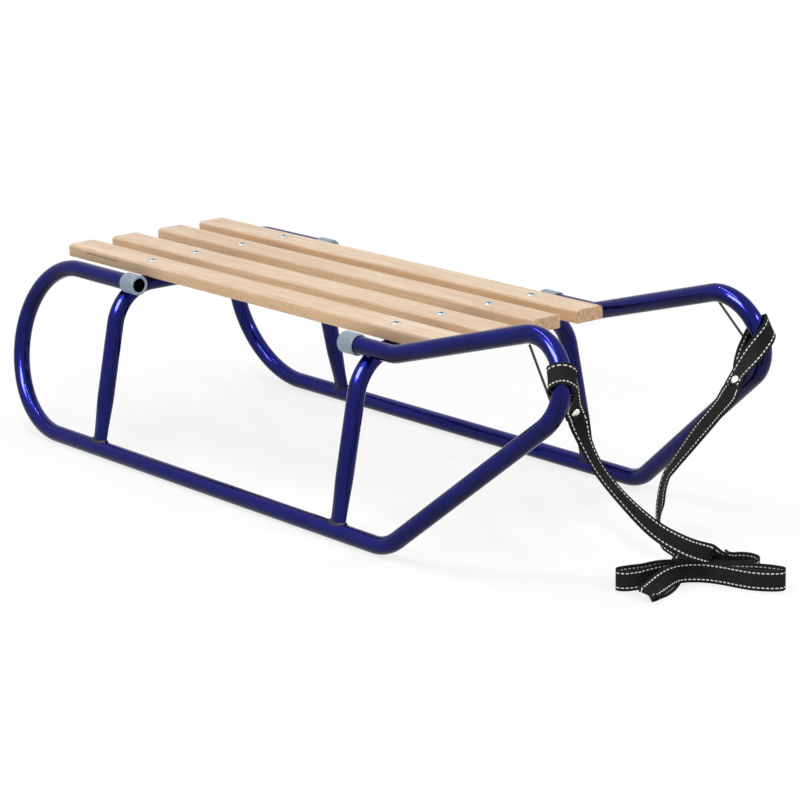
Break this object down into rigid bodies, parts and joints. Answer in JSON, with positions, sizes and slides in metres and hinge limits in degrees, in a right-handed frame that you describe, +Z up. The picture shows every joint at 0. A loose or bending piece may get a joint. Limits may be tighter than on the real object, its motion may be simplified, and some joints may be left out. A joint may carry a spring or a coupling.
{
  "type": "metal sled",
  "caption": "Steel tube sled with bent leaning runners, two tube arches, a slatted beech deck and a black webbing pull strap.",
  "frame": {"origin": "on the ground below the middle of the rigid sled's own box, without the strap", "axes": "+X forwards to the nose bends, +Y to the sled's left, +Z up"},
  "size_m": [0.9867, 0.356, 0.247],
  "materials": {
    "blue_paint": "gloss",
    "beech": "satin",
    "grey_plastic": "matte",
    "zinc": "satin",
    "black_wire": "satin",
    "webbing": "matte",
    "nickel": "gloss"
  },
  "bodies": {
    "root": {"runner_right": "blue_paint", "nose_wire_right": "black_wire", "sleeve_front_right": "grey_plastic", "sleeve_rear_right": "grey_plastic", "strap_right": "webbing", "rivet_right": "nickel", "runner_left": "blue_paint", "nose_wire_left": "black_wire", "sleeve_front_left": "grey_plastic", "sleeve_rear_left": "grey_plastic", "strap_left": "webbing", "rivet_left": "nickel", "arch_rear": "blue_paint", "arch_front": "blue_paint", "strap_pile": "webbing", "slat_1": "beech", "screw_front_1": "zinc", "screw_rear_1": "zinc", "slat_2": "beech", "screw_front_2": "zinc", "screw_rear_2": "zinc", "slat_3": "beech", "screw_front_3": "zinc", "screw_rear_3": "zinc", "slat_4": "beech", "screw_front_4": "zinc", "screw_rear_4": "zinc"}
  },
  "joints": []
}
